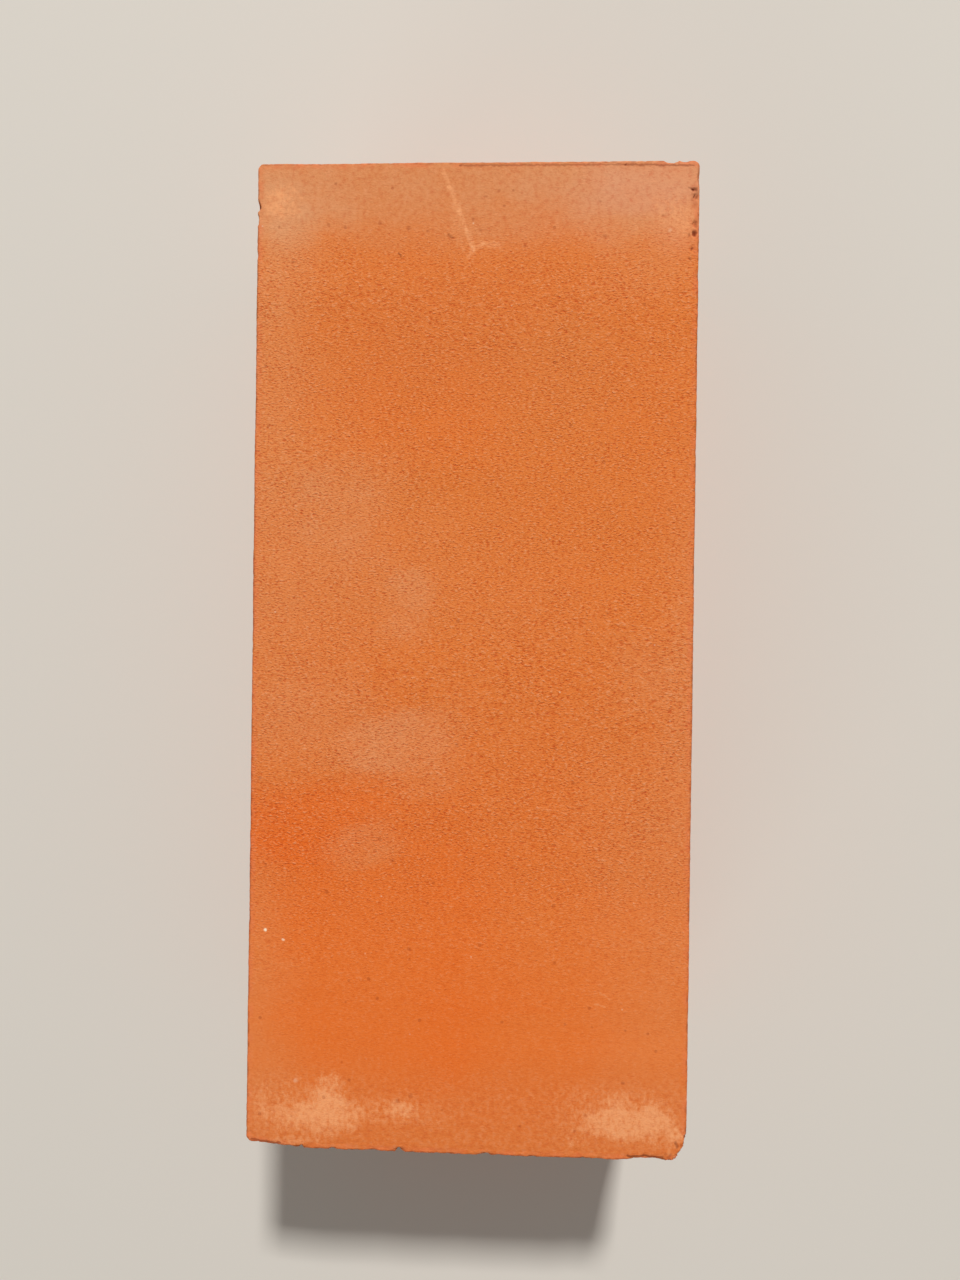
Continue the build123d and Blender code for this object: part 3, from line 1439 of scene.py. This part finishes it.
    def _worn(self, place: Place, moved: list[Field],
              out: tuple[Field, Field]) -> tuple[Field, Field, Field]:
        """Frays, tears and nicks the edges of the beds, most where the wire left the clay.

        Args:
            place: The point.
            moved: The point's parts so far.
            out: The outward direction in plan.

        Returns:
            The worn point, how hollow it is there, and how near an edge it lies, both 0 to 1.
        """
        g, at, seed, noises = place.shape.graph, place.at, place.seed, self.noises
        tear = place.shape.number("Tear", self.tear)
        fray = place.shape.number("Fray", self.fray)
        from_side = g.math("MINIMUM", *[half - g.math("ABSOLUTE", part)
                                        for part, half in zip(place.flat[:2], place.halves)])
        from_edge = g.math("MAXIMUM", from_side, 0.0) + place.depth
        near_edge = 1.0 - g.ramp(from_edge, 0.0, self.worn_reach)
        leaving = g.ramp(-place.flat[0], *[place.halves[0] - reach for reach in self.torn_end])
        torn_share, frayed_share = (share + leaving * (1.0 - share)
                                    for share in (self.tear_share, self.fray_share))
        torn = g.mottle(at, noises.tears, seed) * tear * torn_share
        frayed = g.mottle(at, noises.frays, seed) * fray * frayed_share
        chips = g.scatter(at, noises.chips, seed)
        wobble = g.noise(at, noises.nick_rim, seed) * self.nick_wobble[0] + self.nick_wobble[1]
        bitten = torn + frayed + chips
        # hollow: how much shade the finish paints into the chips and nicks.
        hollow = chips * self.chip_shade
        for nick in self.nicks:
            rest = g.vector("SUBTRACT", at, (nick.x, nick.y, self.half.z))
            far = g.vector("LENGTH", g.vector("DIVIDE", rest, (nick.along, nick.across, nick.down)))
            bite = (1.0 - g.ramp(far * wobble, *self.nick_band)) * nick.depth
            bitten, hollow = bitten + bite, hollow + bite * nick.dark
        bite = bitten * near_edge
        ways = (*out, place.signs[2])
        parts = [part - way * bite * self.bite_share for part, way in zip(moved, ways)]
        return g.join(*parts), g.ramp(hollow * near_edge, *self.shade_band), near_edge

    def _broken(self, place: Place, worn: Field) -> tuple[Field, Field]:
        """Breaks off the top corner at the -X end on the -Y side.

        Args:
            place: The point.
            worn: The point so far.

        Returns:
            The point on the broken brick, and 1 on the break and 0 off it.
        """
        g, halves = place.shape.graph, place.halves
        corner = g.join(-halves[0], -halves[1], halves[2])
        crumbs = g.mottle(place.at, self.noises.crumbs, place.seed)
        rough = crumbs + g.mottle(place.at, self.noises.lumps, place.seed)
        left, deepest = worn, None
        for facet in self.facets:
            outward = Vector((-1.0 / facet.along, -1.0 / facet.across, 1.0 / facet.down)).normalized()
            reach = outward.dot(Vector((-facet.along, 0.0, 0.0)))
            from_corner = g.vector("SUBTRACT", left, corner)
            beyond = g.vector("DOT_PRODUCT", from_corner, tuple(outward)) + reach + rough
            left = g.vector("SUBTRACT", left, g.scaled(tuple(outward), g.math("MAXIMUM", beyond, 0.0)))
            deepest = beyond if deepest is None else g.math("MAXIMUM", deepest, beyond)
        return left, g.ramp(deepest, *self.break_band)


@dataclass
class Studio:
    """The pale floor, the soft light and the camera."""

    floor_size_m: float = 6.0
    floor_colour: Triple = srgb(214, 208, 198)
    floor_roughness: float = 0.95
    sun_direction: Triple = (0.912, -0.167, 1.0)
    sun_distance_m: float = 5.0
    sun_size_m: float = 0.4
    sun_power_w: float = 232.0
    fill_direction: Triple = (-1.0, 0.45, 0.38)
    fill_size_m: float = 2.4
    fill_power_w: float = 34.0
    sky_colour: Triple = (1.0, 0.99, 0.97)
    sky: float = 0.24
    camera_place: Triple = (5.14, -11.68, 290.59)
    camera_turn_deg: Triple = (-0.160, 2.533, -89.242)
    focal_length_px: float = 933.5
    film_m: float = 0.036
    near_clip_m: float = 0.01

    def build(self) -> None:
        """Makes the floor, the lights and the camera."""
        self._floor()
        self._lights()
        self._camera()

    def _floor(self) -> None:
        """Lays a plain pale floor under the brick."""
        half = self.floor_size_m / 2
        mesh = bpy.data.meshes.new("floor")
        corners = [(x * half, y * half, 0.0) for x, y in ((-1, -1), (1, -1), (1, 1), (-1, 1))]
        mesh.from_pydata(corners, [], [(0, 1, 2, 3)])
        finish = bpy.data.materials.new("pale_floor")
        finish.use_nodes = True
        shader = finish.node_tree.nodes["Principled BSDF"]
        shader.inputs["Base Color"].default_value = (*self.floor_colour, 1.0)
        shader.inputs["Roughness"].default_value = self.floor_roughness
        mesh.materials.append(finish)
        floor = bpy.data.objects.new("floor", mesh)
        bpy.context.scene.collection.objects.link(floor)

    def _lights(self) -> None:
        """Hangs a soft key light towards +X, a wide weak one towards -X, and a pale sky."""
        self._area("key", Vector(self.sun_direction), self.sun_size_m, self.sun_power_w)
        self._area("fill", Vector(self.fill_direction), self.fill_size_m, self.fill_power_w)
        world = bpy.data.worlds.new("studio")
        world.use_nodes = True
        sky = world.node_tree.nodes["Background"]
        sky.inputs["Color"].default_value = (*self.sky_colour, 1.0)
        sky.inputs["Strength"].default_value = self.sky
        bpy.context.scene.world = world

    def _area(self, name: str, direction: Vector, size_m: float, power_w: float) -> None:
        """Hangs one square light that faces the brick.

        Args:
            name: The light's name.
            direction: Where it hangs, seen from the brick.
            size_m: Its side.
            power_w: Its power.
        """
        data = bpy.data.lights.new(name, "AREA")
        data.size = size_m
        data.energy = power_w
        lamp = bpy.data.objects.new(name, data)
        lamp.location = direction.normalized() * self.sun_distance_m
        lamp.rotation_euler = direction.to_track_quat("Z", "Y").to_euler()
        bpy.context.scene.collection.objects.link(lamp)

    def _camera(self) -> None:
        """Sets the camera where the photograph was taken from."""
        data = bpy.data.cameras.new("camera")
        data.sensor_width = self.film_m / MM
        data.lens = data.sensor_width * self.focal_length_px / PHOTO_HEIGHT_PX
        data.clip_start = self.near_clip_m
        camera = bpy.data.objects.new("camera", data)
        camera.location = Vector(self.camera_place) * MM
        camera.rotation_euler = Euler([math.radians(turn) for turn in self.camera_turn_deg])
        bpy.context.scene.collection.objects.link(camera)
        bpy.context.scene.camera = camera
        bpy.context.scene.view_settings.view_transform = "Standard"


def main() -> None:
    """Builds the brick and its studio, in order."""
    logging.basicConfig(level=logging.INFO, format="%(message)s")
    low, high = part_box(BRICK_NODE)
    size = (high - low) / MM
    piece = BrickBody(low, high).build(FiredClay(size.x, size.z))
    log.info("%s: %d faces", piece.name, len(piece.data.polygons))
    Studio().build()
    log.info("studio: floor, lights and camera")


if __name__ == "__main__":
    main()
